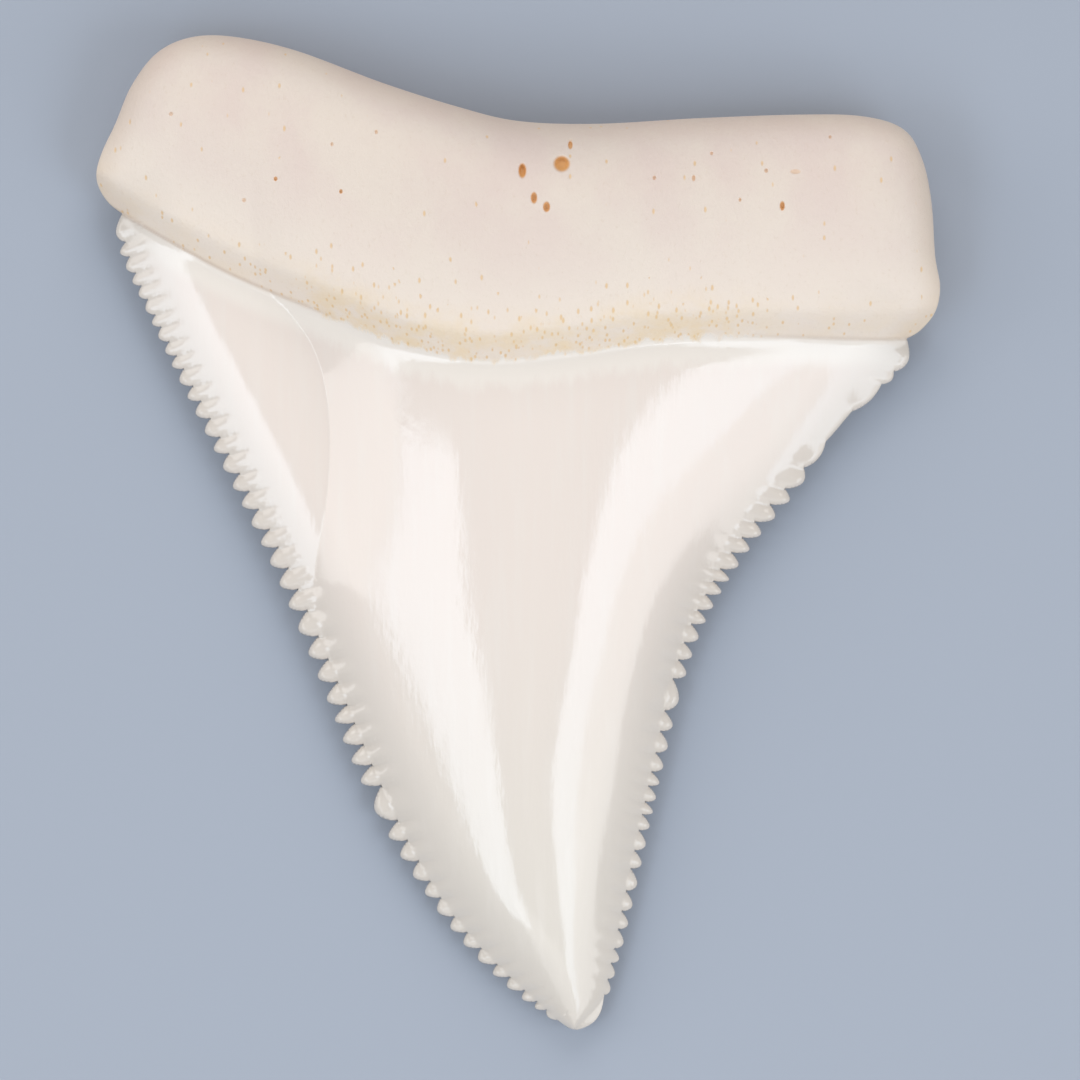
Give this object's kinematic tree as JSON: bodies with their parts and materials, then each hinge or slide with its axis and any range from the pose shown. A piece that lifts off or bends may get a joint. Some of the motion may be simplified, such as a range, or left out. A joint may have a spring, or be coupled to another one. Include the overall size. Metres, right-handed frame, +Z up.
{
  "type": "fossil shark tooth",
  "caption": "Triangular serrated shark tooth with a broad two-lobed root and nutrient pores, lying on its flat lip-side face.",
  "frame": {"origin": "on the rest plane, below the middle of the tooth's bounding box", "axes": "+X across the tooth to the right seen from above with the root at the top, +Y from the crown's tip to the root, +Z up out of the tongue-side face"},
  "size_m": [0.0454, 0.0536, 0.0087],
  "materials": {
    "tooth": "ivory enamel crown with a satin gloss, duller cream root"
  },
  "bodies": {
    "root": {"tooth": "tooth"}
  },
  "joints": []
}
